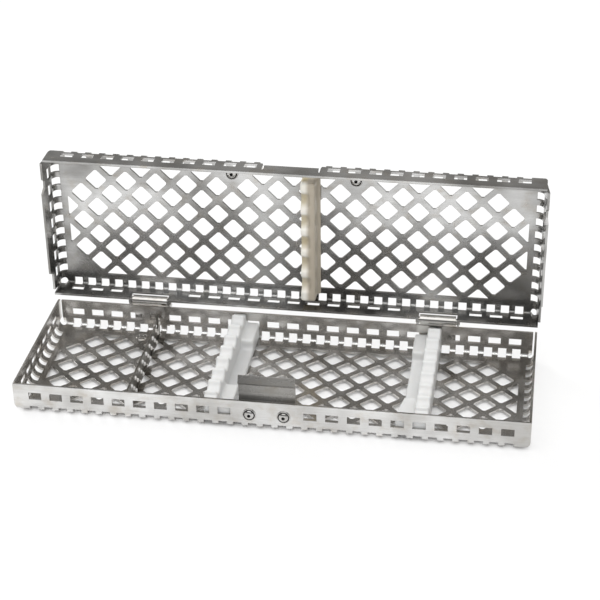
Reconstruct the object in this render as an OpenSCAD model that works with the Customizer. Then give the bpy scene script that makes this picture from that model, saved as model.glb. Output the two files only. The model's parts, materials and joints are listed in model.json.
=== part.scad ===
// Dental instrument cassette: a perforated steel tray and a hinged lid, with white
// instrument rails, a perforated divider and a spring latch on the front wall.
// X is the length, -Y the front, Z up. The origin is the middle of the tray's underside.

/* [Sheet] */
// Thickness of the folded sheet
sheet = 0.8; // [0.6:0.1:1.2]
// Inside radius of the long folds
long_fold_r = 0.6; // [0.4:0.1:1.2]
// Inside radius of the folds at the two ends
end_fold_r = 2.2; // [1:0.1:3]
// Open seam between an end wall and its neighbours
seam = 0.6; // [0.4:0.1:1]
// Radius of the relief hole at each floor corner
relief_r = 1.4; // [1:0.1:2]

/* [Tray] */
// Outer length of the tray and of the lid
case_len = 180.6; // [140:0.1:240]
// Outer depth of the tray
tray_w = 59.5; // [52:0.1:90]
// Height of the tray walls
tray_h = 10.7; // [9:0.1:16]
// Radius at the lower ends of the front and back walls
tray_end_r = 3; // [1.5:0.1:4]

/* [Lid] */
// Height of the lid walls
lid_h = 9.7; // [8:0.1:14]
// How far the lid is shown open from closed
open_deg = 90; // [0:1:90]
// Gap between the rims of tray and lid when closed
rim_gap = 0.3; // [0.3:0.1:1]
// Gap between the lid's front wall and the tray's front wall
front_gap = 0.3; // [0.3:0.05:0.8]
// Gap between the lid's back wall and the tray's back wall
back_gap = 1.7; // [1.5:0.1:3]
// Outward lean of the lid's end walls
end_lean = 9; // [8:0.5:11]
// Radius at the ends of the lid's front and back walls
lid_end_r = 3; // [0.8:0.1:4]
// How far the middle of an end wall reaches past the rim
skirt = 1.3; // [0.5:0.1:2]

/* [Lattice] */
// Pitch of the square holes along a web
grid_pitch = 8; // [6:0.5:10]
// Side of a square hole
hole_side = 6; // [4:0.5:8]
// Cut at each corner of a hole
hole_corner = 0.45; // [0.2:0.05:1]
// Plain border around the lattice
floor_border = 5.3; // [4:0.1:8]

/* [Windows] */
// Pitch of the windows in the long walls
window_pitch = 7.5; // [6:0.1:10]
// Pitch of the windows in the end walls
end_window_pitch = 6.8; // [6:0.1:10]
// Width of a window
window_w = 4.5; // [3:0.1:5]
// Height of a window
window_h = 2.8; // [2:0.1:3.5]
// Height of a window above the tray's underside
tray_window_z = 4.7; // [4:0.1:6]
// Height of a window above the lid's outer face
lid_window_z = 3; // [2.8:0.1:5]
// Pitch of the notches in the folds
notch_pitch = 5.2; // [4.5:0.1:7]
// Width of a notch
notch_w = 3; // [2:0.1:4]
// Reach of a notch up the tray's back and end walls
notch_up = 3.2; // [2:0.1:3.6]
// Reach of a notch up the tray's front wall
front_notch_up = 1.8; // [1.4:0.1:3]
// Reach of a notch up the lid's walls
lid_notch_up = 2; // [1.4:0.1:2.4]
// Reach of a notch into a floor
notch_in = 3.2; // [2.4:0.1:4]
// Plain length left at each end of a long wall
wall_margin = 5.2; // [4:0.1:10]

/* [Hinge] */
// Distance of each hinge from the middle
hinge_x = 54; // [40:0.5:70]
// Height of the hinge axis above the tray's rim
hinge_rise = 2.7; // [2.6:0.1:4]
// Width of a hinge hook
hook_w = 13.2; // [8:0.1:18]
// Thickness of a hinge hook
hook_t = 0.8; // [0.6:0.1:1]
// Radius of a hinge pin
pin_r = 1.14; // [0.8:0.01:1.4]
// Running clearance around a hinge pin
pin_fit = 0.06; // [0.02:0.01:0.1]
// Side gap between a hook and a lid lug
lug_gap = 0.4; // [0.3:0.1:1]

/* [Latch] */
// Middle of the latch along the front wall
latch_x = -0.2; // [-10:0.1:10]
// Width of the latch plate
latch_w = 19.8; // [14:0.1:24]
// Thickness of the latch plate
latch_t = 0.6; // [0.4:0.1:0.8]
// Distance of each latch rivet from the latch's middle
latch_rivet_x = 6; // [4:0.1:8]
// Height of the latch rivets
latch_rivet_z = 5.4; // [4:0.1:6]
// Side gap between the latch and the lid's cut-out
latch_gap = 0.5; // [0.4:0.1:1]
// How far the latch tongue is pressed in
latch_deg = 0; // [0:0.5:7.5]

/* [Rails] */
// Middle of the left rail
rail_left_x = -17.5; // [-40:0.1:-13]
// Middle of the right rail
rail_right_x = 50.7; // [20:0.1:60]
// Width of the scalloped comb
comb_w = 5; // [4:0.1:8]
// Height of the comb above the tray's underside
comb_z = 12.4; // [9:0.1:13]
// Width of the ledge beside the comb
ledge_w = 4.8; // [3:0.1:8]
// Height of the ledge's end blocks above the tray's underside
ledge_z = 7.2; // [5:0.1:10]
// Height of the ledge between its end blocks
ledge_low_z = 3.5; // [2:0.1:4.5]
// Length of the ledge's rear block
rear_block = 13.3; // [6:0.1:20]
// Length of the ledge's front block
front_block = 14.7; // [6:0.1:20]
// How far the right rail's front block widens
flare = 1.8; // [0.5:0.1:3]
// Pitch of the scallops
scallop_pitch = 7.5; // [6:0.1:12]
// Radius of a scallop
scallop_r = 3.1; // [2:0.1:5]
// Depth of a scallop
scallop_d = 2.4; // [1:0.1:4]
// Left side of the lid rail
lid_rail_x = 3.3; // [-20:0.1:20]
// Width of the lid rail's scalloped comb
lid_comb_w = 3.3; // [2:0.1:6]
// Width of the plain spine beside the comb
lid_spine_w = 2.1; // [1:0.1:4]
// Width of the low foot beside the spine
lid_foot_w = 1.2; // [0.6:0.1:3]
// Height of the lid rail above the lid's outer face
lid_rail_z = 8.2; // [4:0.1:8.4]
// Pitch of the lid rail's scallops
lid_scallop_pitch = 8.6; // [6:0.1:12]
// Radius of the round feet under each rail
stud_r = 2.7; // [1.5:0.1:2.8]

/* [Divider] */
// Place of the divider along the tray
divider_x = -50.1; // [-80:0.1:-30]
// Height of the divider above the tray's underside
divider_z = 9; // [8.5:0.1:10]
// Thickness of the divider
divider_t = 0.6; // [0.4:0.1:1]
// Radius of the divider's holes
divider_hole_r = 0.8; // [0.4:0.05:1]
// Pitch of the holes in one row of the divider
divider_pitch = 5.45; // [4:0.05:7]
// Distance between the divider's three rows of holes
divider_row = 2.6; // [2.2:0.1:2.8]

/* [Hidden] */
$fn = 48;

over = 1;
step = grid_pitch / sqrt(2);
lid_w = tray_w - 2 * sheet - front_gap - back_gap;
lid_front_y = -tray_w / 2 + sheet + front_gap;
lid_back_y = lid_front_y + lid_w;
lid_mid_y = (lid_front_y + lid_back_y) / 2;
closed_z = tray_h + rim_gap + lid_h;
curl_in = pin_r + pin_fit;
curl_out = curl_in + hook_t;
hinge_y = tray_w / 2 + hook_t - curl_out;
hinge_z = tray_h + hinge_rise;
lug_x = hook_w / 2 + lug_gap;
hook_room = 0.4;
cols = floor((case_len / 2 - floor_border) / step);
tray_rows = floor((tray_w / 2 - floor_border) / step);
lid_rows = floor((lid_w / 2 - floor_border) / step);
long_windows = floor((case_len / 2 - wall_margin - window_w / 2) / window_pitch);
long_notches = floor((case_len / 2 - wall_margin - notch_w / 2) / notch_pitch);
end_wall_margin = 4.5;
end_notch_margin = 5.5;
floor_rivet_col = 10;
lid_rivet_col = 4;
latch_clear = latch_w / 2 + latch_gap;
front_in_y = -tray_w / 2 + sheet;
jog_z = latch_rivet_z + 3.8;
jog_out = 1.25;

function at_rivet(i, j, rows, rivet_cols) = (j == rows) && len([for (col = rivet_cols) if (col == i) col]) > 0;

// Area inside one fold: everything within r of the fold's middle, towards the floor and the wall
module fold_area(r, reach, rise, spare, lean) {
  circle(r);
  translate([-reach - spare, -r])
    square([reach + spare, r + spare]);
  rotate(-lean)
    translate([-spare, 0])
      square([r + spare, rise + spare]);
}

// U profile of a folded sheet: floor on the X axis, walls up, with an outward lean
module fold_profile(width, height, inner, lean) {
  outer = inner + sheet;
  middle = width / 2 - outer;
  for (side = [0, 1])
    mirror([side, 0])
      translate([middle, outer])
        difference() {
          fold_area(outer, middle, (height - outer) / cos(lean), 0, lean);
          fold_area(inner, middle, (height - outer) / cos(lean), outer + over, lean);
        }
}

// Front outline of a long wall, with its two lower corners rounded
module wall_outline(height, end_r) {
  translate([-case_len / 2 + end_r, 0])
    square([case_len - 2 * end_r, height]);
  translate([-case_len / 2, end_r])
    square([case_len, height - end_r]);
  for (side = [-1, 1])
    translate([side * (case_len / 2 - end_r), end_r])
      circle(end_r);
}

// Floor with two long walls, cut clear of the end folds
module long_fold(width, height, end_r) {
  clear = end_fold_r + sheet;
  difference() {
    intersection() {
      translate([-case_len / 2, 0, 0])
        rotate([90, 0, 90])
          linear_extrude(case_len)
            fold_profile(width, height, long_fold_r, 0);
      rotate([90, 0, 0])
        linear_extrude(width + 2 * over, center = true)
          wall_outline(height, end_r);
    }
    for (side = [-1, 1])
      translate([side * case_len / 2, 0, height / 2])
        cube([2 * clear, width - 2 * sheet, height + 2 * over], center = true);
  }
}

module end_fold(width, height, lean) {
  rotate([90, 0, 0])
    linear_extrude(width - 2 * sheet - 2 * seam, center = true)
      fold_profile(case_len, height, end_fold_r, lean);
}

module corner_reliefs(width) {
  for (x = [-1, 1], y = [-1, 1])
    translate([x * (case_len / 2 - relief_r), y * (width / 2 - relief_r - 0.1), -over])
      cylinder(r = relief_r, h = over + sheet + end_fold_r);
}

// A hole of the floor lattice, kept below, above, left or right of its middle where it meets the border
module lattice_hole(i, j, rows) {
  h = hole_side / sqrt(2);
  c = hole_corner;
  up = (j == -rows) ? 0 : h - c;
  down = (j == rows) ? 0 : c - h;
  upper = (j == rows) ? 0 : 1;
  lower = (j == -rows) ? 0 : 1;
  right = (i == cols) ? 0 : 1;
  left = (i == -cols) ? 0 : 1;
  translate([i * step, j * step, -over])
    linear_extrude(sheet + 2 * over)
      difference() {
        polygon([[h - c, -c], [h - c, c], [c, h - c], [-c, h - c], [c - h, c], [c - h, -c], [-c, c - h], [c, c - h]]);
        if (upper == 0)
          translate([-h, 0])
            square([2 * h, h]);
        if (lower == 0)
          translate([-h, -h])
            square([2 * h, h]);
        if (right == 0)
          translate([0, -h])
            square([h, 2 * h]);
        if (left == 0)
          translate([-h, -h])
            square([h, 2 * h]);
      }
}

module lattice(rows, rivet_cols) {
  for (i = [-cols:cols], j = [-rows:rows])
    if ((abs(i + j) % 2 == 0) && (abs(i) + abs(j) <= cols + rows - 3) && !at_rivet(i, j, rows, rivet_cols))
      lattice_hole(i, j, rows);
}

// One row of windows through a wall that stands across Y
module long_windows_row(z, solid) {
  for (k = [-long_windows:long_windows])
    if (abs(k) > solid)
      translate([k * window_pitch - window_w / 2, -over - sheet, z])
        cube([window_w, 2 * sheet + 2 * over, window_h]);
}

module end_windows_rows(width, z, lean) {
  count = floor((width / 2 - end_wall_margin - window_w / 2) / end_window_pitch);
  for (k = [-count:count])
    translate([-case_len / 2 - 3 * sheet, k * end_window_pitch - window_w / 2, z])
      cube([case_len + 6 * sheet, window_w, window_h]);
}

module long_notches_row(up) {
  for (k = [-long_notches:long_notches])
    translate([k * notch_pitch - notch_w / 2, -over, -over])
      cube([notch_w, notch_in + over, up + over]);
}

module end_notches_row(width, up) {
  count = floor((width / 2 - end_notch_margin - notch_w / 2) / notch_pitch);
  for (k = [-count:count])
    translate([-over, k * notch_pitch - notch_w / 2, -over])
      cube([notch_in + over, notch_w, up + over]);
}

// Ends of the tray's back wall, cut off beside the end walls
module tray_back_ends() {
  cut = sheet + seam;
  for (side = [0, 1])
    mirror([side, 0, 0])
      translate([case_len / 2 - cut, tray_w / 2 - sheet - 0.05, -over])
        cube([cut + over, sheet + over, tray_h + 2 * over]);
}

// Rear edge of an end wall, which reaches the tray's rear face above the corner's relief hole
module tray_end_reach() {
  low = sheet + end_fold_r;
  for (side = [0, 1])
    mirror([side, 0, 0])
      translate([case_len / 2 - sheet, tray_w / 2 - sheet - seam - 0.5, low])
        cube([sheet, sheet + seam + 0.5, tray_h - low]);
}

module tray() {
  color("lightgray")
    union() {
      folded_tray();
      tray_end_reach();
    }
}

module folded_tray() {
  difference() {
    union() {
      long_fold(tray_w, tray_h, tray_end_r);
      end_fold(tray_w, tray_h, 0);
    }
    corner_reliefs(tray_w);
    tray_back_ends();
    lattice(tray_rows, [-floor_rivet_col]);
    translate([0, -tray_w / 2, 0])
      long_windows_row(tray_window_z, 1);
    translate([0, tray_w / 2, 0])
      long_windows_row(tray_window_z, -1);
    end_windows_rows(tray_w, tray_window_z, 0);
    translate([0, -tray_w / 2, 0])
      long_notches_row(front_notch_up);
    translate([0, tray_w / 2, 0])
      mirror([0, 1, 0])
        long_notches_row(notch_up);
    for (side = [0, 1])
      mirror([side, 0, 0])
        translate([-case_len / 2, 0, 0])
          end_notches_row(tray_w, notch_up);
    for (side = [-1, 1])
      translate([latch_x + side * latch_rivet_x, -tray_w / 2 - over, latch_rivet_z])
        rotate([-90, 0, 0])
          cylinder(r = rivet_r, h = sheet + 2 * over);
    translate([-floor_rivet_col * step, tray_rows * step, -over])
      cylinder(r = rivet_r, h = sheet + 2 * over);
  }
}

rivet_r = 1.2;
rivet_head_r = 1.95;
rivet_head_h = 1.05;

// Rivet with a domed head that stands on z = 0, and a shank below
module rivet(shank, head_h) {
  sphere_r = (rivet_head_r * rivet_head_r + head_h * head_h) / (2 * head_h);
  intersection() {
    translate([0, 0, head_h - sphere_r])
      sphere(sphere_r);
    cylinder(r = rivet_head_r, h = head_h);
  }
  translate([0, 0, -shank])
    cylinder(r = rivet_r, h = shank);
}

// Places a piece that is drawn closed, around the hinge axis, at the lid's shown angle
module on_lid() {
  translate([0, hinge_y, hinge_z])
    rotate([-open_deg, 0, 0])
      translate([0, -hinge_y, -hinge_z])
        children();
}

// Places a piece that is drawn on the lid's own floor: outer face at z = 0, front towards +Y
module on_lid_floor() {
  on_lid()
    translate([0, lid_mid_y, closed_z])
      rotate([180, 0, 0])
        children();
}

lip_from = 3;
lip_h = 2.3;
lip_out = 0.5;
cut_depth = 3.7;

// Raised middle of the lid's end walls: what is cut away around it
module end_rim_cuts() {
  back = -lid_w / 2;
  slope = skirt;
  rotate([90, 0, 90])
    translate([0, 0, -case_len / 2 - 3 * sheet])
      linear_extrude(case_len + 6 * sheet) {
        polygon([
          [back - over, lid_h - 1.5], [back + 8, lid_h - 1.5], [back + 9.5, lid_h + skirt],
          [back + 9.5, lid_h + skirt + over], [back - over, lid_h + skirt + over]
        ]);
        polygon([
          [lid_w / 2 + over, lid_h], [lid_w / 2 - 8, lid_h], [lid_w / 2 - 9, lid_h - 1.3],
          [lid_w / 2 - 11.4, lid_h - 1.3], [lid_w / 2 - 12.6 - slope, lid_h + skirt],
          [lid_w / 2 - 12.6 - slope, lid_h + skirt + over], [lid_w / 2 + over, lid_h + skirt + over]
        ]);
      }
}

// Opening in the lid's front wall, front fold and floor edge, where the latch comes through
module latch_cutout() {
  bevel = 1.4;
  translate([latch_x, lid_w / 2 + over, 0])
    rotate([90, 0, 0])
      linear_extrude(cut_depth + over)
        polygon([
          [-latch_clear - bevel, -over], [latch_clear + bevel, -over], [latch_clear, lid_notch_up + 1],
          [latch_clear, lid_h - lip_from], [-latch_clear, lid_h - lip_from], [-latch_clear, lid_notch_up + 1]
        ]);
}

// Strip's upper lip, which leans out and is what the latch holds
module catch_lip() {
  top = lid_h - lip_from;
  translate([latch_x - latch_w / 2, lid_w / 2, 0])
    rotate([90, 0, 90])
      linear_extrude(latch_w)
        polygon([[0, top + 0.01], [-sheet, top + 0.01], [-sheet + lip_out, top - lip_h], [lip_out, top - lip_h]]);
}

heel = hinge_rise - 0.3;

// Lug that carries one end of a hinge pin, drawn in the closed position around the axis;
// its flat heel meets the rim of the tray's back wall when the lid stands open
module hinge_lug() {
  rotate([90, 0, 90])
    linear_extrude(sheet)
      difference() {
        union() {
          circle(2);
          translate([lid_back_y - sheet - hinge_y, -2])
            square([hinge_y - lid_back_y + sheet, 4]);
          polygon([[0, 0], [heel, 0], [heel, 1.7], [0.4, 1.96]]);
        }
        circle(pin_r);
      }
}

module lid_shell() {
  color("silver")
    union() {
      on_lid_floor()
        difference() {
          union() {
            long_fold(lid_w, lid_h, lid_end_r);
            difference() {
              end_fold(lid_w, lid_h + skirt, end_lean);
              end_rim_cuts();
            }
          }
          corner_reliefs(lid_w);
          lattice(lid_rows, [-lid_rivet_col, lid_rivet_col]);
          translate([0, lid_w / 2, 0])
            long_windows_row(lid_window_z, 1);
          translate([0, -lid_w / 2, 0])
            long_windows_row_beside_hinges(lid_window_z);
          end_windows_rows(lid_w, lid_window_z + 0.6, end_lean);
          translate([0, -lid_w / 2, 0])
            long_notches_row(lid_notch_up);
          translate([0, lid_w / 2, 0])
            mirror([0, 1, 0])
              long_notches_row(lid_notch_up);
          for (side = [0, 1])
            mirror([side, 0, 0])
              translate([-case_len / 2, 0, 0])
                end_notches_row(lid_w, notch_up);
          latch_cutout();
          for (side = [-1, 1])
            translate([side * lid_rivet_col * step, lid_rows * step, -over])
              cylinder(r = rivet_r, h = sheet + 2 * over);
          for (side = [-1, 1])
            hook_cutout(side * hinge_x);
        }
      on_lid_floor()
        catch_lip();
      for (side = [-1, 1], edge = [-lug_x - sheet, lug_x])
        on_lid()
          translate([side * hinge_x + edge, hinge_y, hinge_z])
            hinge_lug();
    }
}

module long_windows_row_beside_hinges(z) {
  for (k = [-long_windows:long_windows])
    if (abs(abs(k * window_pitch) - hinge_x) > lug_x + sheet + window_w / 2 + 1)
      translate([k * window_pitch - window_w / 2, -over - sheet, z])
        cube([window_w, 2 * sheet + 2 * over, window_h]);
}

// Room in the lid's back wall for a hook, drawn on the lid's own floor
module hook_cutout(x) {
  axis_w = closed_z - hinge_z;
  low = axis_w - curl_out - hook_room;
  translate([x - lug_x, -lid_w / 2 - over, low])
    cube([2 * lug_x, sheet + 2 * over, lid_h]);
}

// Hook: a leaf on the outside of the back wall, curled over the pin
module hinge_hook(x) {
  leaf_low = 2.2;
  translate([x - hook_w / 2, hinge_y, hinge_z])
    rotate([90, 0, 90])
      linear_extrude(hook_w) {
        difference() {
          circle(curl_out);
          circle(curl_in);
          polygon([[0, 0], [-1.5, -4], [4, -4], [4, 0]]);
        }
        translate([curl_in, leaf_low - hinge_z])
          square([hook_t, hinge_z - leaf_low]);
      }
}

module hinge_pin(x) {
  on_lid()
    translate([x - lug_x - sheet - 0.3, hinge_y, hinge_z])
      rotate([0, 90, 0])
        cylinder(r = pin_r, h = 2 * (lug_x + sheet + 0.3));
}

// Latch flange: lies on the inside of the front wall and carries the tongue
module latch_plate() {
  color("gainsboro")
    difference() {
      translate([latch_x - latch_w / 2, front_in_y, 0])
        rotate([90, 0, 90])
          linear_extrude(latch_w)
            polygon([
              [0, 2.4], [latch_t, 2.4], [latch_t, jog_z - 1.8], [jog_out + latch_t / 2, jog_z - 0.1],
              [jog_out - latch_t / 2, jog_z - 0.1], [0, jog_z - 1.4]
            ]);
      for (side = [-1, 1])
        translate([latch_x + side * latch_rivet_x, front_in_y - over, latch_rivet_z])
          rotate([-90, 0, 0])
            cylinder(r = rivet_r, h = latch_t + 2 * over);
    }
}

tongue_in = front_gap + sheet + 0.35;
catch_z = closed_z - lid_h + lip_from + lip_h;

// Latch tongue: rises inside the lid's catch strip, leans out over it to an apex and back in
module latch_tongue() {
  foot = jog_out - latch_t / 2;
  rim = tray_h + rim_gap;
  apex_z = catch_z + 1.5;
  apex_in = -0.25;
  top_in = tongue_in - 0.35;
  top_h = 2.3;
  color("gainsboro")
    translate([0, front_in_y + jog_out, jog_z])
      rotate([-latch_deg, 0, 0])
        translate([latch_x - latch_w / 2, -jog_out, -jog_z])
          rotate([90, 0, 90])
            linear_extrude(latch_w)
              polygon([
                [foot, jog_z], [tongue_in, rim - 1], [tongue_in, rim + 2.2],
                [tongue_in - lip_out, catch_z + 0.05], [apex_in, apex_z], [top_in, apex_z + top_h],
                [top_in + latch_t, apex_z + top_h - 0.25], [apex_in + latch_t + 0.2, apex_z],
                [tongue_in - lip_out + latch_t, catch_z + 0.25], [tongue_in + latch_t, rim + 2.3],
                [tongue_in + latch_t, rim - 1.1], [foot + latch_t, jog_z]
              ]);
}

module latch_rivet(side) {
  translate([latch_x + side * latch_rivet_x, -tray_w / 2, latch_rivet_z])
    rotate([90, 0, 0])
      rivet(sheet + latch_t + 0.3, rivet_head_h);
}

module lid_rivet(x) {
  on_lid_floor()
    translate([x, lid_rows * step, sheet])
      rivet(sheet, rivet_head_h);
}

// The floor's rivet has a flatter head than the others
module floor_rivet(x) {
  translate([x, tray_rows * step, sheet])
    rivet(sheet, 0.4 * rivet_head_h);
}

comb_front = lid_front_y + sheet + 0.35;
comb_back = hinge_y - 3.7;
rail_gap = 0.3;

// Side outline of a comb: low ends that pass under the lid's walls, and round scallops
module comb_outline() {
  reach = tray_w / 2 - sheet - rail_gap;
  low = tray_h - 0.1;
  middle = (comb_front + comb_back) / 2;
  count = floor((comb_back - comb_front - 2 * scallop_r) / scallop_pitch / 2);
  difference() {
    union() {
      translate([-reach, sheet])
        square([2 * reach, low - sheet]);
      translate([comb_front, sheet])
        square([comb_back - comb_front, comb_z - sheet]);
    }
    for (k = [-count:count])
      translate([middle + k * scallop_pitch, comb_z + scallop_r - scallop_d])
        circle(scallop_r);
  }
}

// Side outline of a ledge: a raised block at each end and a low stretch between, with round inner corners
module ledge_outline() {
  reach = tray_w / 2 - sheet - rail_gap;
  corner = 1.5;
  hollow_front = front_block - reach;
  hollow_back = reach - rear_block;
  difference() {
    translate([-reach, sheet])
      square([2 * reach, ledge_z - sheet]);
    translate([hollow_front, ledge_low_z + corner])
      square([hollow_back - hollow_front, ledge_z]);
    translate([hollow_front + corner, ledge_low_z])
      square([hollow_back - hollow_front - 2 * corner, ledge_z]);
    for (y = [hollow_front + corner, hollow_back - corner])
      translate([y, ledge_low_z + corner])
        circle(corner);
  }
}

// Widening of a ledge's front block, away from the comb
module ledge_flare(x, out) {
  reach = tray_w / 2 - sheet - rail_gap;
  translate([0, 0, sheet])
    linear_extrude(ledge_z - sheet)
      polygon([
        [x, front_block - reach - 0.5], [x + out, -reach + front_block / 3],
        [x + out, -reach], [x - 0.2 * sign(out), -reach], [x - 0.2 * sign(out), front_block - reach - 0.5]
      ]);
}

module rail_studs(x) {
  column = 2 * round((x / step - 1) / 2) + 1;
  for (side = [-1, 1])
    translate([column * step, side * 3 * step, 0.15])
      cylinder(r = stud_r, h = sheet);
}

// Rail with its comb on one side and its ledge on the other
module rail(x, comb_side) {
  width = comb_w + ledge_w;
  low_x = (comb_side < 0) ? x - width / 2 : x + width / 2 - comb_w;
  ledge_x = (comb_side < 0) ? x + width / 2 - ledge_w : x - width / 2;
  translate([low_x, 0, 0])
    rotate([90, 0, 90])
      linear_extrude(comb_w)
        comb_outline();
  translate([ledge_x, 0, 0])
    rotate([90, 0, 90])
      linear_extrude(ledge_w)
        ledge_outline();
  if (comb_side > 0)
    ledge_flare(ledge_x, -flare);
  rail_studs(x);
}

// Rail under the lid: a scalloped comb, a plain spine beside it and a low foot
module lid_rail() {
  back = -lid_w / 2 + 3.5;
  front = lid_w / 2 - cut_depth - 0.3;
  middle = (front + back) / 2;
  count = floor((front - back - 2 * scallop_r) / lid_scallop_pitch / 2);
  width = lid_comb_w + lid_spine_w;
  column = 2 * round(((lid_rail_x + width / 2) / step - 1) / 2) + 1;
  color("ivory")
    on_lid_floor() {
      translate([lid_rail_x, 0, 0])
        rotate([90, 0, 90])
          linear_extrude(lid_comb_w)
            difference() {
              translate([back, sheet])
                square([front - back, lid_rail_z - sheet]);
              for (k = [-count:count])
                translate([middle + k * lid_scallop_pitch, lid_rail_z + scallop_r - scallop_d])
                  circle(scallop_r);
            }
      translate([lid_rail_x + lid_comb_w, back, sheet])
        cube([lid_spine_w, front - back, lid_rail_z - sheet]);
      translate([lid_rail_x, back, sheet])
        cube([width + lid_foot_w, front - back, 1.6]);
      for (side = [-1, 1])
        translate([column * step, side * step, 0.15])
          cylinder(r = stud_r, h = sheet);
    }
}

divider_front = -tray_w / 2 + sheet + 0.3;
divider_back = tray_w / 2 - sheet - 5;
neck_w = 2;
neck_y = divider_back - neck_w / 2 - 0.3;
curl_r = 1;
curl_z = divider_z + 2.2;

// Side outline of the divider: a strip that drops near its rear end and rises again as a narrow neck
module divider_outline() {
  top = divider_z - sheet;
  drop = neck_y - 4;
  translate([divider_front, sheet])
    square([drop - divider_front, top]);
  translate([divider_front, sheet])
    square([divider_back - divider_front, divider_z - divider_row - sheet]);
  translate([neck_y - neck_w / 2, sheet])
    square([neck_w, curl_z - sheet]);
}

// Three staggered rows of holes, with one more hole up the neck
module divider_holes() {
  low = (divider_z + sheet) / 2 - divider_row;
  count = floor((neck_y - divider_front - 1.6) / divider_pitch);
  for (k = [0:count], row = [0, 2])
    translate([neck_y - k * divider_pitch, low + row * divider_row])
      circle(divider_hole_r);
  for (k = [0:count - 1])
    translate([neck_y - (k + 0.5) * divider_pitch, low + divider_row])
      circle(divider_hole_r);
  translate([neck_y, low + 2 * divider_row + 2])
    circle(0.7 * divider_hole_r);
}

// Divider: an upright perforated strip, whose neck ends in a small curl
module divider() {
  color("darkgray")
    translate([divider_x - divider_t / 2, 0, 0]) {
      rotate([90, 0, 90])
        linear_extrude(divider_t)
          difference() {
            divider_outline();
            divider_holes();
          }
      translate([curl_r, neck_y + neck_w / 2, curl_z])
        rotate([90, 0, 0])
          linear_extrude(neck_w)
            difference() {
              circle(curl_r);
              circle(curl_r - divider_t);
              translate([-curl_r, -curl_r - over])
                square([curl_r, curl_r + over]);
            }
    }
}

// Foot of the divider: a small angle that stands on the floor and lies on the strip
module divider_foot(k) {
  y = neck_y - 1.7 - 2 * k * divider_pitch;
  foot_len = 2.4;
  foot_t = 0.5;
  color("dimgray")
    translate([divider_x + divider_t / 2, y - foot_len / 2, sheet]) {
      cube([2.2, foot_len, foot_t]);
      cube([foot_t, foot_len, 2.4]);
    }
}

tray();
lid_shell();
color("silver") hinge_hook(-hinge_x);  // hinge_hook_left
color("silver") hinge_hook(hinge_x);  // hinge_hook_right
color("gray") hinge_pin(-hinge_x);  // hinge_pin_left
color("gray") hinge_pin(hinge_x);  // hinge_pin_right
latch_plate();
latch_tongue();
color("white") latch_rivet(-1);  // latch_rivet_left
color("white") latch_rivet(1);  // latch_rivet_right
color("white") lid_rivet(-lid_rivet_col * step);  // lid_rivet_left
color("white") lid_rivet(lid_rivet_col * step);  // lid_rivet_right
color("white") floor_rivet(-floor_rivet_col * step);  // floor_rivet_left
color("white") rail(rail_left_x, -1);  // rail_left
color("white") rail(rail_right_x, 1);  // rail_right
lid_rail();
divider();
divider_foot(0);  // divider_foot_1
divider_foot(1);  // divider_foot_2
divider_foot(2);  // divider_foot_3
divider_foot(3);  // divider_foot_4
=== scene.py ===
"""Dental instrument cassette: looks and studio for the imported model.

Lengths are metres in the frame's axes: X along the case, -Y to the front, Z up.
Sizes of noise are cells per millimetre. Colours are linear RGB.
"""
import json
import math

import bpy
from mathutils import Matrix, Vector


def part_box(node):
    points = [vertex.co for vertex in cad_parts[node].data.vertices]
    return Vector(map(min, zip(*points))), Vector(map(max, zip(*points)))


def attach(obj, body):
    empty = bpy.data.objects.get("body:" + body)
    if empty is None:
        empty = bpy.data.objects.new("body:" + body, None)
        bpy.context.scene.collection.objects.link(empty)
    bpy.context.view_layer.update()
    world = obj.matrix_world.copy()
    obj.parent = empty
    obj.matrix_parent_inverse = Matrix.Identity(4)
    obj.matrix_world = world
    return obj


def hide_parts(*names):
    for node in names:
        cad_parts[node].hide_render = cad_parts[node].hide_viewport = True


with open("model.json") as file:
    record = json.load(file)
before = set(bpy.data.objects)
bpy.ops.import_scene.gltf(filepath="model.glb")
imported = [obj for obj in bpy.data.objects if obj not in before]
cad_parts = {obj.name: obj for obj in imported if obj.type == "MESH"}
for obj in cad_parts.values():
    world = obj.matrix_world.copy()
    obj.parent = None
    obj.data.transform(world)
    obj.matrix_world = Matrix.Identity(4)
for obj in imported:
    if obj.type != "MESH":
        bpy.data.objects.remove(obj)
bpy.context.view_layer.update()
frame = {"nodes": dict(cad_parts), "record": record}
nodes = frame["nodes"]

# Shader building blocks

PER_MM = 1000.0


def new_material(name):
    mat = bpy.data.materials.new(name)
    mat.use_nodes = True
    tree = mat.node_tree
    tree.nodes.clear()
    out = tree.nodes.new("ShaderNodeOutputMaterial")
    shader = tree.nodes.new("ShaderNodeBsdfPrincipled")
    tree.links.new(shader.outputs[0], out.inputs[0])
    return mat, tree, shader


def add(tree, kind, **inputs):
    """New node with these values at its inputs."""
    node = tree.nodes.new(kind)
    for key, value in inputs.items():
        node.inputs[key].default_value = value
    return node


def link(tree, source, target):
    tree.links.new(source, target)


def feed(tree, value, target):
    """Links a socket, or sets a number or an opaque colour."""
    if hasattr(value, "is_linked"):
        link(tree, value, target)
    elif hasattr(value, "__len__"):
        target.default_value = (*value, 1.0)
    else:
        target.default_value = value


def axes_of(tree, space):
    """X, Y and Z of one of the coordinate spaces."""
    coord = add(tree, "ShaderNodeTexCoord")
    split = add(tree, "ShaderNodeSeparateXYZ")
    link(tree, coord.outputs[space], split.inputs["Vector"])
    return split.outputs


def noise(tree, size, detail, rough, turn=(0.0, 0.0, 0.0)):
    """Noise in object coordinates, with its own size along each axis."""
    coord = add(tree, "ShaderNodeTexCoord")
    mapping = add(tree, "ShaderNodeMapping")
    mapping.inputs["Scale"].default_value = [PER_MM * s for s in size]
    mapping.inputs["Rotation"].default_value = turn
    link(tree, coord.outputs["Object"], mapping.inputs["Vector"])
    node = add(tree, "ShaderNodeTexNoise", Scale=1.0, Detail=detail, Roughness=rough)
    link(tree, mapping.outputs["Vector"], node.inputs["Vector"])
    return node.outputs["Fac"]


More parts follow.
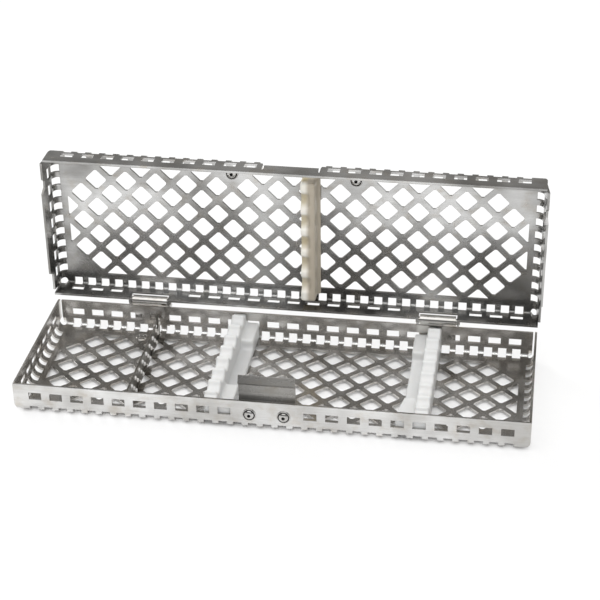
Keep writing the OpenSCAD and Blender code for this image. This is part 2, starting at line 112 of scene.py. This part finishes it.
def remap(tree, value, low, high, new_low=0.0, new_high=1.0):
    node = add(tree, "ShaderNodeMapRange")
    ends = {"From Min": low, "From Max": high, "To Min": new_low, "To Max": new_high}
    for key, end in ends.items():
        node.inputs[key].default_value = end
    link(tree, value, node.inputs["Value"])
    return node.outputs["Result"]


def calc(tree, operation, *values):
    node = add(tree, "ShaderNodeMath")
    node.operation = operation
    for value, target in zip(values, node.inputs):
        link(tree, value, target)
    return node.outputs[0]


def mix_color(tree, fac, a, b, mode="MIX"):
    node = tree.nodes.new("ShaderNodeMix")
    node.data_type = "RGBA"
    node.blend_type = mode
    feed(tree, fac, node.inputs["Factor"])
    for name, value in (("A", a), ("B", b)):
        feed(tree, value, [s for s in node.inputs if s.name == name and s.type == "RGBA"][0])
    return [s for s in node.outputs if s.type == "RGBA"][0]


def tinted(tree, base, tint):
    return mix_color(tree, 1.0, base, tint, "MULTIPLY")


def bumped_normal(tree, height, strength, distance, edge):
    """A bump on top of edges that are rounded in shading."""
    bevel = add(tree, "ShaderNodeBevel", Radius=edge)
    bevel.samples = 6
    bump = add(tree, "ShaderNodeBump", Strength=strength, Distance=distance)
    link(tree, height, bump.inputs["Height"])
    link(tree, bevel.outputs["Normal"], bump.inputs["Normal"])
    return bump.outputs["Normal"]


# Steel

PATCH_WIDEN = 1.3
PATCH_TURN = (0.2, 0.5, 0.7)
SPOT_SIZE = (0.16, 0.2, 0.2)
FINE_RANGE = (0.35, 0.7)
PATCH_RANGE = (0.38, 0.62)
SPOT_RANGE = (0.5, 0.75)
SPOT_SHARE = 0.8
WARM = (1.0, 0.985, 0.96)
BROWN = (0.8, 0.74, 0.66)
STREAK = (0.82, 0.82, 0.82)
STEEL_ROUGH_RANGE = (0.25, 0.75)
STEEL_SMOOTHER = 0.05
STEEL_ROUGHER = 0.08
STEEL_BUMP = {"strength": 0.16, "distance": 0.00002, "edge": 0.00016}

tray_low, tray_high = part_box("tray")
# Painted reflection: the tray's front wall outer face and rear wall inner face are coloured
# lighter where their reflections are brighter; the rear is also made less metallic.
FRONT_REFLECTION_Y = (tray_low[1] + 0.00015, tray_low[1] + 0.00065)
REAR_REFLECTION_Y = (tray_high[1] - 0.00115, tray_high[1] - 0.00055)
FOLD_HIGHLIGHT_Y = (tray_high[1] - 0.00175, tray_high[1] - 0.00145)
FOLD_HIGHLIGHT_Z = (0.0014, 0.0018)
REAR_METAL = 0.78


def steel(name, color, rough, grain, dull, patch=0.035, wall_light=None):
    """Rolled sheet: fine grain, broad dull patches, brown marks and light streaks.

    The last argument gives painted light for the tray: lighter colours on the front wall's outer
    face and the rear wall's inner face stand for their brighter reflections, and white along the
    rear fold is a painted highlight.
    """
    mat, tree, shader = new_material(name)
    shader.inputs["Metallic"].default_value = 1.0
    fine = noise(tree, grain, detail=2.0, rough=0.6)
    patch_size = (patch, patch * PATCH_WIDEN, patch * PATCH_WIDEN)
    patches = noise(tree, patch_size, detail=3.0, rough=0.55, turn=PATCH_TURN)
    spots = noise(tree, SPOT_SIZE, detail=5.0, rough=0.62)
    if wall_light:
        axes = axes_of(tree, "Object")
        # painted reflection: lighter colours on the front wall and the rear wall
        color = mix_color(tree, remap(tree, axes["Y"], *FRONT_REFLECTION_Y), wall_light["front"], color)
        color = mix_color(tree, remap(tree, axes["Y"], *REAR_REFLECTION_Y), color, wall_light["rear"])
        metal = remap(tree, axes["Y"], *REAR_REFLECTION_Y, 1.0, REAR_METAL)
        link(tree, metal, shader.inputs["Metallic"])
    dark = tinted(tree, color, [dull * share for share in WARM])
    base = mix_color(tree, remap(tree, patches, *PATCH_RANGE), color, dark)
    marked = remap(tree, spots, *SPOT_RANGE, 0.0, SPOT_SHARE)
    base = mix_color(tree, marked, base, tinted(tree, base, BROWN))
    streaked = remap(tree, fine, *FINE_RANGE)
    base = mix_color(tree, streaked, base, tinted(tree, base, STREAK))
    if wall_light:
        # painted highlight: white along the rear fold between the floor and the rear wall
        at_wall = remap(tree, axes["Y"], *FOLD_HIGHLIGHT_Y)
        at_floor = remap(tree, axes["Z"], *FOLD_HIGHLIGHT_Z, 1.0, 0.0)
        base = mix_color(tree, calc(tree, "MULTIPLY", at_wall, at_floor), base, wall_light["fold"])
    link(tree, base, shader.inputs["Base Color"])
    ends = (rough - STEEL_SMOOTHER, rough + STEEL_ROUGHER)
    link(tree, remap(tree, spots, *STEEL_ROUGH_RANGE, *ends), shader.inputs["Roughness"])
    link(tree, bumped_normal(tree, fine, **STEEL_BUMP), shader.inputs["Normal"])
    return mat


def with_metal(mat, share):
    """Sets how much of a steel is bare metal; the rest is a dull film."""
    mat.node_tree.nodes["Principled BSDF"].inputs["Metallic"].default_value = share
    return mat


def shade_left(mat, from_x, to_x, tint):
    """Paints shade on a steel, darker towards its left end as the light falls off there."""
    tree = mat.node_tree
    target = tree.nodes["Principled BSDF"].inputs["Base Color"]
    base = target.links[0].from_socket
    left = remap(tree, axes_of(tree, "Object")["X"], from_x, to_x, 1.0, 0.0)
    link(tree, mix_color(tree, left, base, tinted(tree, base, tint)), target)


# Plastic

CLOUD_SIZE = (0.12, 0.12, 0.12)
CLOUD_RANGE = (0.35, 0.75)
GRAIN_SIZE = (2.2, 2.2, 2.2)
PLASTIC_ROUGH_RANGE = (0.2, 0.8)
PLASTIC_SMOOTHER = 0.08
PLASTIC_ROUGHER = 0.1
PLASTIC_BUMP = {"strength": 0.3, "distance": 0.00004, "edge": 0.0003}
# Painted shade low on the rails near the floor: full on the left rail, weak on the right.
LOW_Z = (0.0034, 0.0062)
LOW_X = (0.0, 0.01)
LOW_SHARE_RIGHT = 0.15
RECESS_CLOUD = (0.3, 0.6)
RECESS_LEAST = 0.55
# Painted shade on the lid rail's spine beside its comb.
SPINE_BEFORE = 0.0012
SPINE_AFTER = 0.0002


def plastic(name, color, shade, rough, comb=None, low_shade_color=None):
    """Moulded plastic with a faint grain and soft edges.

    The comb argument tints the lid rail's recesses and paints shade on its spine; the last
    argument is painted shade on the left tray rail near the floor.
    """
    mat, tree, shader = new_material(name)
    shader.inputs["Subsurface Weight"].default_value = 0.15
    shader.inputs["Subsurface Radius"].default_value = (0.004, 0.0035, 0.003)
    shader.inputs["Subsurface Scale"].default_value = 0.5
    cloud = noise(tree, CLOUD_SIZE, detail=4.0, rough=0.6)
    grain = noise(tree, GRAIN_SIZE, detail=4.0, rough=0.65)
    base = mix_color(tree, remap(tree, cloud, *CLOUD_RANGE), color, shade)
    if comb:
        base = comb_tint_and_spine_shade(tree, base, cloud, **comb)
    if low_shade_color:
        # painted shade: darker near the floor
        axes = axes_of(tree, "Object")
        low = remap(tree, axes["Z"], *LOW_Z, 1.0, 0.0)
        left = remap(tree, axes["X"], *LOW_X, 1.0, LOW_SHARE_RIGHT)
        base = mix_color(tree, calc(tree, "MULTIPLY", low, left), base, low_shade_color)
    link(tree, base, shader.inputs["Base Color"])
    ends = (rough - PLASTIC_SMOOTHER, rough + PLASTIC_ROUGHER)
    link(tree, remap(tree, grain, *PLASTIC_ROUGH_RANGE, *ends), shader.inputs["Roughness"])
    link(tree, bumped_normal(tree, grain, **PLASTIC_BUMP), shader.inputs["Normal"])
    return mat


def comb_tint_and_spine_shade(tree, base, cloud, recess_tone, spine, depth, comb_right):
    """Tints what lies deeper than the comb's crests tan and darker, and paints shade on the
    spine beside it.
    """
    axes = axes_of(tree, "Object")
    deep = remap(tree, axes["Y"], *depth)
    cloudy = remap(tree, cloud, *RECESS_CLOUD, RECESS_LEAST, 1.0)
    base = mix_color(tree, calc(tree, "MULTIPLY", deep, cloudy), base, recess_tone)
    # painted shade on the spine
    beside = remap(tree, axes["X"], comb_right - SPINE_BEFORE, comb_right + SPINE_AFTER)
    return mix_color(tree, beside, base, spine)


# What each slot and node looks like

LONG = (0.08, 9.0, 9.0)
UPRIGHT = (7.0, 7.0, 0.2)
EVEN = (5.0, 5.0, 5.0)
LID_COMB_W = 0.0033
LID_RECESS_FROM = 0.0004
LID_RECESS_TO = 0.0026
LATCH_METAL = 0.5
# Painted shade on the latch, darkest at its left end.
LATCH_SHADE_TO = 0.003
LATCH_LEFT_SHADE = (0.58, 0.585, 0.59)
EYELET_METAL = 0.2

rail_low, rail_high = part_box("lid_rail")
latch_low, latch_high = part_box("latch_tongue")
# Painted light on the tray: lighter front and rear wall colours stand for brighter reflections,
# and white on the rear fold is a painted highlight.
tray_wall_light = {"front": (0.82, 0.82, 0.815), "rear": (0.95, 0.93, 0.90), "fold": (1.0, 1.0, 1.0)}
# The lid rail: recesses tinted tan and darker; the spine a brown painted shade.
lid_comb = {
    "recess_tone": (0.50, 0.42, 0.25),
    "spine": (0.46, 0.41, 0.33),
    "depth": (rail_low[1] + LID_RECESS_FROM, rail_low[1] + LID_RECESS_TO),
    "comb_right": rail_low[0] + LID_COMB_W,
}
paint = {
    "tray_steel": steel(
        "tray_steel_look", (0.72, 0.705, 0.685), rough=0.19, grain=LONG, dull=0.66,
        wall_light=tray_wall_light),
    "lid_steel": steel(
        "lid_steel_look", (0.66, 0.66, 0.655), rough=0.22, grain=LONG, dull=0.42, patch=0.028),
    "latch_steel": steel(
        "latch_steel_look", (0.42, 0.415, 0.403), rough=0.27, grain=UPRIGHT, dull=0.8),
    "divider_steel": steel(
        "divider_steel_look", (0.34, 0.325, 0.30), rough=0.3, grain=EVEN, dull=0.7, patch=0.2),
    "polished_steel": steel(
        "polished_steel_look", (0.66, 0.657, 0.65), rough=0.05, grain=EVEN, dull=0.8, patch=0.3),
    "white_plastic": plastic(
        "white_plastic_look", (0.74, 0.745, 0.74), (0.70, 0.70, 0.69), rough=0.36,
        low_shade_color=(0.61, 0.614, 0.614)),
    "cream_plastic": plastic(
        "cream_plastic_look", (0.88, 0.86, 0.80), (0.84, 0.81, 0.73), rough=0.45,
        comb=lid_comb),
}
with_metal(paint["latch_steel"], LATCH_METAL)
# painted shade: the latch darkens towards its left end
shade_left(paint["latch_steel"], latch_low[0], LATCH_SHADE_TO, LATCH_LEFT_SHADE)
rolled = steel("hinge_look", (0.78, 0.77, 0.75), rough=0.1, grain=LONG, dull=0.7)
# Near-black painted shade for rivet grooves and holes, the floor rivet's pits and the eyelets'
# bores.
pit_shade = steel("pit_shade_look", (0.05, 0.05, 0.05), rough=0.5, grain=EVEN, dull=0.8)
# Near-white, mostly non-metal eyelet lips: a painted highlight.
glint = with_metal(
    steel("eyelet_painted_highlight_look", (0.97, 0.97, 0.96), rough=0.4, grain=EVEN, dull=0.94), EYELET_METAL)
looks = {"hinge_hook_left": rolled, "hinge_hook_right": rolled}
for part in frame["record"]["subparts"]:
    mesh = nodes[part["node"]].data
    mesh.materials.clear()
    mesh.materials.append(looks.get(part["node"], paint[part["material_slot"]]))

# The moulded rails' soft edges

MOULD_MESH = 0.00034
MOULD_PASSES = 26
MOULD_RELAX = 0.5


def soften(name):
    """Melts a moulded node's edges: an even fine mesh, relaxed a little."""
    node = nodes[name]
    even = node.modifiers.new("even_mesh", "REMESH")
    even.mode = "VOXEL"
    even.voxel_size = MOULD_MESH
    even.use_smooth_shade = True
    relax = node.modifiers.new("relaxed", "SMOOTH")
    relax.factor = MOULD_RELAX
    relax.iterations = MOULD_PASSES


for rail_name in ("rail_left", "rail_right", "lid_rail"):
    soften(rail_name)

# Turned pieces

TINY = 0.000002


def mesh_piece(name, verts, faces, slot, dark=(), bright=()):
    """Smooth mesh in the slot's look; faces numbered in dark get a near-black painted shade,
    those in bright a near-white painted highlight.
    """
    mesh = bpy.data.meshes.new(name)
    mesh.from_pydata(verts, [], faces)
    for look in (paint[slot], pit_shade, glint):
        mesh.materials.append(look)
    for poly in mesh.polygons:
        poly.use_smooth = True
        poly.material_index = 1 if poly.index in dark else 2 if poly.index in bright else 0
    obj = bpy.data.objects.new(name, mesh)
    bpy.context.scene.collection.objects.link(obj)
    return obj


def ring_faces(steps, rows):
    """Quads between turned copies of a profile that has this many points."""
    faces = []
    for k in range(steps):
        n = (k + 1) % steps
        for i in range(rows - 1):
            faces.append((k * rows + i, n * rows + i, n * rows + i + 1, k * rows + i + 1))
    return faces


def turned(profile, centre, axis, steps):
    """Vertices and faces of a profile of (radius, height) points, turned round an axis."""
    turn = Vector((0.0, 0.0, 1.0)).rotation_difference(Vector(axis)).to_matrix()
    verts = []
    for k in range(steps):
        a = 2.0 * math.pi * k / steps
        for r, h in profile:
            verts.append(Vector(centre) + turn @ Vector((r * math.cos(a), r * math.sin(a), h)))
    return verts, ring_faces(steps, len(profile))


def arc(steps, last_degrees):
    """Angles in radians from 0 to the last one, both included."""
    return [math.radians(last_degrees * k / steps) for k in range(steps + 1)]


# Blind rivets in the latch's flange and the lid

RIVET_STEPS = 40
RIVET_R = 0.0024
RIVET_SUNK = 0.0001
RIVET_RIM = 0.00016
RIVET_FLANGE = 0.0003
RIVET_CHAMFER = 0.0001
RIVET_GROOVE_W = 0.00034
RIVET_GROOVE_FOOT = 0.00003
RIVET_GROOVE_Z = 0.00005
RIVET_DOME_R = 0.00172
RIVET_DOME_END = 69.0
RIVET_DOME_STEPS = 12
RIVET_HEAD_H = 0.00105
RIVET_HOLE_R = 0.00062
RIVET_HOLE_BEND = 0.0003
RIVET_HOLE_Z = 0.0002


def rivet_profile():
    """Thin flange, groove, full dome and a hole at its top; and the rows painted near-black as
    shade in the groove and the hole.
    """
    rise = RIVET_HEAD_H - RIVET_FLANGE
    groove_r = RIVET_DOME_R + RIVET_GROOVE_W
    foot = [(TINY, -RIVET_SUNK), (RIVET_R, -RIVET_SUNK), (RIVET_R, RIVET_RIM),
            (RIVET_R - RIVET_CHAMFER, RIVET_FLANGE), (groove_r, RIVET_FLANGE)]
    groove = [(groove_r - RIVET_GROOVE_FOOT, RIVET_GROOVE_Z), (RIVET_DOME_R, RIVET_GROOVE_Z)]
    dome = [(RIVET_DOME_R * math.cos(a), RIVET_FLANGE + rise * math.sin(a))
            for a in arc(RIVET_DOME_STEPS, RIVET_DOME_END)]
    hole = [(RIVET_HOLE_R * 0.9, RIVET_HEAD_H - RIVET_HOLE_BEND),
            (RIVET_HOLE_R * 0.8, RIVET_HOLE_Z), (TINY, RIVET_HOLE_Z)]
    to_groove = len(foot) - 1
    to_hole = len(foot + groove + dome) - 1
    dark = {to_groove, to_groove + 1, *range(to_hole, to_hole + len(hole))}
    return foot + groove + dome + hole, dark


def rivet_head(name, body):
    """Stands for a rivet that faces -Y."""
    low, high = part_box(name)
    centre = ((low[0] + high[0]) / 2.0, low[1] + RIVET_HEAD_H, (low[2] + high[2]) / 2.0)
    profile, dark_rows = rivet_profile()
    verts, faces = turned(profile, centre, (0.0, -1.0, 0.0), RIVET_STEPS)
    per_turn = len(profile) - 1
    dark = {k * per_turn + row for k in range(RIVET_STEPS) for row in dark_rows}
    piece = mesh_piece(name + "_head", verts, faces, "polished_steel", dark)
    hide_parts(name)
    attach(piece, body)


for side in ("left", "right"):
    rivet_head("latch_rivet_" + side, "base")
    rivet_head("lid_rivet_" + side, "lid")

# Stamped rivet in the floor

ROSETTE_RINGS = 22
ROSETTE_STEPS = 60
ROSETTE_DROP = 0.00042
ROSETTE_GROOVE_R = 0.0009
ROSETTE_GROOVE_W = 0.00012
ROSETTE_GROOVE_D = 0.0001
PITS = 5
PIT_R = 0.00034
PIT_SHADE_REACH = 0.9
PIT_D = 0.0003
PIT_RING = 0.00135
PIT_TURN = 0.35


def bell(distance, width):
    return math.exp(-(distance / width) ** 2)


def floor_rosette():
    """Flat stamped rivet with a groove and a ring of small pits, whose faces are painted
    near-black as shade.
    """
    low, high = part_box("floor_rivet_left")
    centre = Vector(((low[0] + high[0]) / 2.0, (low[1] + high[1]) / 2.0, high[2]))
    pit_angles = [2.0 * math.pi * (n + PIT_TURN) / PITS for n in range(PITS)]
    pits = [(PIT_RING * math.cos(b), PIT_RING * math.sin(b)) for b in pit_angles]
    verts, dark = [], set()
    for k in range(ROSETTE_STEPS):
        a = 2.0 * math.pi * k / ROSETTE_STEPS
        for i in range(ROSETTE_RINGS + 1):
            r = RIVET_R * (1.0 - i / ROSETTE_RINGS) + TINY
            x, y = r * math.cos(a), r * math.sin(a)
            near = min(math.hypot(x - px, y - py) for px, py in pits)
            h = -ROSETTE_DROP * (r / RIVET_R) ** 4
            h -= ROSETTE_GROOVE_D * bell(r - ROSETTE_GROOVE_R, ROSETTE_GROOVE_W)
            h -= PIT_D * bell(near, PIT_R)
            # painted shade: the pits' faces get the near-black look
            if near < PIT_SHADE_REACH * PIT_R and i < ROSETTE_RINGS:
                dark.add(k * ROSETTE_RINGS + i)
            verts.append(centre + Vector((x, y, h)))
    faces = ring_faces(ROSETTE_STEPS, ROSETTE_RINGS + 1)
    piece = mesh_piece("floor_rosette", verts, faces, "tray_steel", dark)
    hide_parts("floor_rivet_left")
    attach(piece, "base")


floor_rosette()

# Eyelets in the divider

STRIP_T = 0.0006
STRIP_TOP = 0.009
FLOOR_T = 0.0008
HOLE_PITCH = 0.00545
HOLE_ROW = 0.0026
NECK_FROM_BACK = 0.0013
NECK_HOLE_UP = 0.002
FRONT_MARGIN = 0.0016
EYELET_STEPS = 18
EYELET_EDGE = 0.00084
EYELET_SUNK = 0.00002
EYELET_FLAT = 0.00004
EYELET_LIP = 0.0005
EYELET_LIP_STEPS = 8
EYELET_HOLE = 0.00022
EYELET_H = 0.0005


def divider_holes(front, back):
    """Places (y, z) of the divider's staggered holes and of the one in its neck."""
    low_row = (STRIP_TOP + FLOOR_T) / 2.0 - HOLE_ROW
    high_row = low_row + 2.0 * HOLE_ROW
    places = [(back, high_row + NECK_HOLE_UP)]
    columns = int((back - front - FRONT_MARGIN) / HOLE_PITCH)
    for k in range(columns + 1):
        y = back - k * HOLE_PITCH
        places += [(y, low_row), (y, high_row)]
        if k < columns:
            places.append((back - (k + 0.5) * HOLE_PITCH, low_row + HOLE_ROW))
    return places


def eyelet_profile():
    """Flat edge, raised lip and a hole through the strip; and the lip's rows."""
    lip_t = EYELET_LIP - EYELET_HOLE
    edge = [(EYELET_EDGE, -EYELET_SUNK), (EYELET_EDGE, EYELET_FLAT)]
    lip = [(EYELET_LIP + lip_t * math.cos(a), EYELET_FLAT + EYELET_H * math.sin(a))
           for a in arc(EYELET_LIP_STEPS, 180.0)]
    lip_rows = range(len(edge), len(edge) + len(lip) - 1)
    return edge + lip + [(EYELET_HOLE, -STRIP_T)], lip_rows


def divider_eyelets():
    """Small eyelets pressed into the divider's holes: their lips on its right face are painted
    near-white as a highlight, their bores near-black as shade.
    """
    low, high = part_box("divider")
    profile, lip_rows = eyelet_profile()
    verts, faces, dark, bright = [], [], set(), set()
    for y, z in divider_holes(low[1], high[1] - NECK_FROM_BACK):
        some, quads = turned(profile, (low[0] + STRIP_T, y, z), (1.0, 0.0, 0.0), EYELET_STEPS)
        for n, quad in enumerate(quads):
            row = n % (len(profile) - 1)
            # lips get the painted highlight, bores the painted shade
            if row in lip_rows:
                bright.add(len(faces))
            elif row > lip_rows[-1]:
                dark.add(len(faces))
            faces.append(tuple(v + len(verts) for v in quad))
        verts += some
    piece = mesh_piece("divider_eyelets", verts, faces, "divider_steel", dark, bright)
    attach(piece, "base")


divider_eyelets()

# Studio

FLOOR_HALF = 3.0
FLOOR_Z = -0.001
FLOOR_WHITE = 0.97
FLOOR_ROUGH = 0.3
GLOW_UNDER = 0.08
GLOW_AROUND = 0.72
GLOW_EDGE = 0.0025
UNDER_X = 0.0885
UNDER_Y = 0.0275
WHITE = (1.0, 1.0, 1.0)
PALE = (0.85, 0.85, 0.85)
DIM_FRONT = (0.22, 0.22, 0.22)
DIM_BACK_LEFT = (0.20, 0.198, 0.194)
DIM_BACK_RIGHT = (0.39, 0.38, 0.365)
LEFT_TO_RIGHT = (-0.42, -0.05)
FRONT_TO_BACK = (-0.7, 0.7)
BELOW_TO_ABOVE = (0.02, 0.2)
LAMPS = {
    "top": {"place": (-0.05, -0.4, 1.4), "target": (-0.05, -0.3, 0.0),
            "size": (2.0, 1.9), "power": 17.0},
    "side": {"place": (-0.95, 0.95, 0.85), "target": (0.0, 0.0, 0.0),
             "size": (0.5, 0.5), "power": 12.0},
}
SENSOR_W = 36.0
LENS = 101.5
CLIP = (0.05, 20.0)
VIEWPOINT = (
    (0.988626, -0.067165, 0.134565, 0.086977),
    (0.150076, 0.498897, -0.853568, -0.505218),
    (-0.009804, 0.864055, 0.503302, 0.332896),
    (0.0, 0.0, 0.0, 1.0),
)


def area_light(name, place, target, size, power):
    data = bpy.data.lights.new(name, "AREA")
    data.shape = "RECTANGLE"
    data.size, data.size_y = size
    data.energy = power
    obj = bpy.data.objects.new(name, data)
    obj.location = place
    aim = Vector(target) - Vector(place)
    obj.rotation_euler = aim.to_track_quat("-Z", "Y").to_euler()
    bpy.context.scene.collection.objects.link(obj)


def studio_floor():
    """Table with a faint gloss that looks whiter to the camera around the tray than under it."""
    mesh = bpy.data.meshes.new("studio_floor")
    r = FLOOR_HALF
    mesh.from_pydata([(-r, -r, 0), (r, -r, 0), (r, r, 0), (-r, r, 0)], [], [(0, 1, 2, 3)])
    obj = bpy.data.objects.new("studio_floor", mesh)
    obj.location.z = FLOOR_Z
    bpy.context.scene.collection.objects.link(obj)
    mat, tree, shader = new_material("studio_floor_look")
    shader.inputs["Base Color"].default_value = (FLOOR_WHITE, FLOOR_WHITE, FLOOR_WHITE, 1.0)
    shader.inputs["Roughness"].default_value = FLOOR_ROUGH
    white = add(tree, "ShaderNodeEmission", Strength=1.0)
    axes = axes_of(tree, "Object")
    beside = []
    for axis, reach in (("X", UNDER_X), ("Y", UNDER_Y)):
        away = calc(tree, "ABSOLUTE", axes[axis])
        beside.append(remap(tree, away, reach, reach + GLOW_EDGE, GLOW_UNDER, GLOW_AROUND))
    glow = calc(tree, "MAXIMUM", *beside)
    path = add(tree, "ShaderNodeLightPath")
    share = calc(tree, "MULTIPLY", path.outputs["Is Camera Ray"], glow)
    mix = add(tree, "ShaderNodeMixShader")
    for source, target in zip((share, shader.outputs[0], white.outputs[0]), mix.inputs):
        link(tree, source, target)
    out = [n for n in tree.nodes if n.type == "OUTPUT_MATERIAL"][0]
    link(tree, mix.outputs[0], out.inputs[0])
    mesh.materials.append(mat)


def studio_world():
    """White to the camera; in reflections a dim room that is darkest at the back left."""
    world = bpy.data.worlds.new("studio")
    bpy.context.scene.world = world
    world.use_nodes = True
    tree = world.node_tree
    tree.nodes.clear()
    out = tree.nodes.new("ShaderNodeOutputWorld")
    back = add(tree, "ShaderNodeBackground", Strength=1.0)
    axes = axes_of(tree, "Generated")
    path = add(tree, "ShaderNodeLightPath")
    right = remap(tree, axes["X"], *LEFT_TO_RIGHT)
    back_wall = mix_color(tree, right, DIM_BACK_LEFT, DIM_BACK_RIGHT)
    front_wall = mix_color(tree, path.outputs["Is Glossy Ray"], PALE, DIM_FRONT)
    room = mix_color(tree, remap(tree, axes["Y"], *FRONT_TO_BACK), front_wall, back_wall)
    below = remap(tree, axes["Z"], *BELOW_TO_ABOVE, 1.0, 0.0)
    seen = mix_color(tree, below, room, PALE)
    seen = mix_color(tree, path.outputs["Is Camera Ray"], seen, WHITE)
    link(tree, seen, back.inputs["Color"])
    link(tree, back.outputs[0], out.inputs[0])


def camera():
    """The photo's viewpoint, solved from the tray's edges and the lattice."""
    data = bpy.data.cameras.new("camera")
    data.sensor_fit = "HORIZONTAL"
    data.sensor_width = SENSOR_W
    data.lens = LENS
    data.clip_start, data.clip_end = CLIP
    obj = bpy.data.objects.new("camera", data)
    obj.matrix_world = Matrix(VIEWPOINT)
    bpy.context.scene.collection.objects.link(obj)
    bpy.context.scene.camera = obj


studio_floor()
studio_world()
camera()
for lamp_name, lamp in LAMPS.items():
    area_light(lamp_name, **lamp)
bpy.context.scene.view_settings.view_transform = "Standard"
